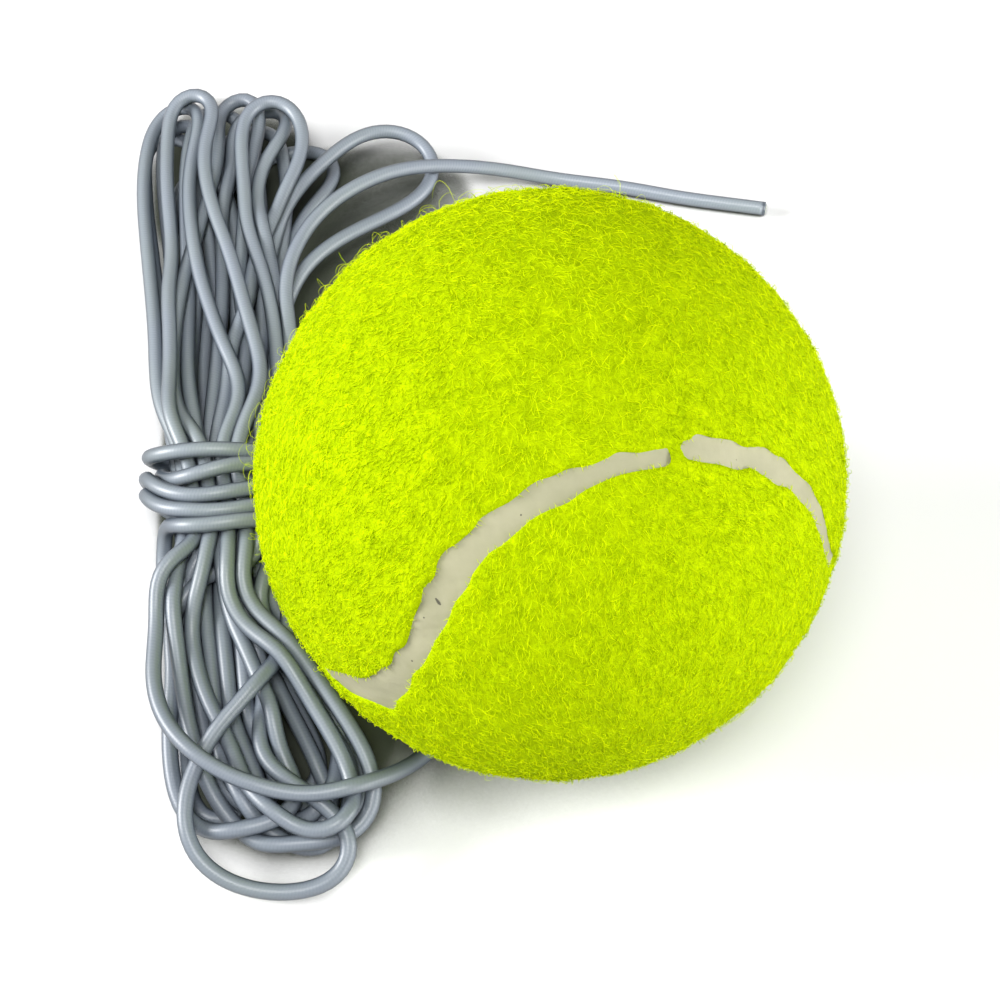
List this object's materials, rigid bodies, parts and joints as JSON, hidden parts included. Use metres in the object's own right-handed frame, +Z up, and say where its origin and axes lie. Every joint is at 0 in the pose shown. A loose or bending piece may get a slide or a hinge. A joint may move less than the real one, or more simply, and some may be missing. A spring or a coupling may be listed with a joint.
{
  "type": "tennis ball",
  "caption": "Tennis ball on an elastic tether: felt panels and a rubber seam over a hollow core, with the tether held by a knot inside and put away as a waist-tied hank.",
  "frame": {"origin": "the ball's point of contact with the table", "axes": "+Z up through the ball's middle, +Y from the near end of the hank towards its far end, -X from the ball towards the hank"},
  "size_m": [0.0897, 0.1193, 0.066],
  "materials": {
    "felt": "raised wool and nylon felt",
    "seam_rubber": "matt, slightly soiled",
    "core_rubber": "matt moulded rubber",
    "cement": "dried rubber cement",
    "braid": "fine braided sheath",
    "cord_rubber": "cut natural rubber"
  },
  "bodies": {
    "tether": {"cord_knot": "braid", "cord_neck": "braid", "cord_lead": "braid", "cord_hank": "braid", "cord_binding": "braid", "cord_tail": "braid", "cord_end_sheath": "braid", "cord_end_rubber": "cord_rubber"},
    "ball": {"core_hole_half": "core_rubber", "core_plain_half": "core_rubber", "core_cement": "cement", "felt_panel_a": "felt", "felt_panel_b": "felt", "seam_strip": "seam_rubber"}
  },
  "joints": [
    {"name": "ball_spin", "type": "hinge", "parent": "tether", "child": "ball", "pos_m": [0, 0, 0.033], "axis": [-0.3009, -0.3993, -0.866], "continuous": true}
  ]
}
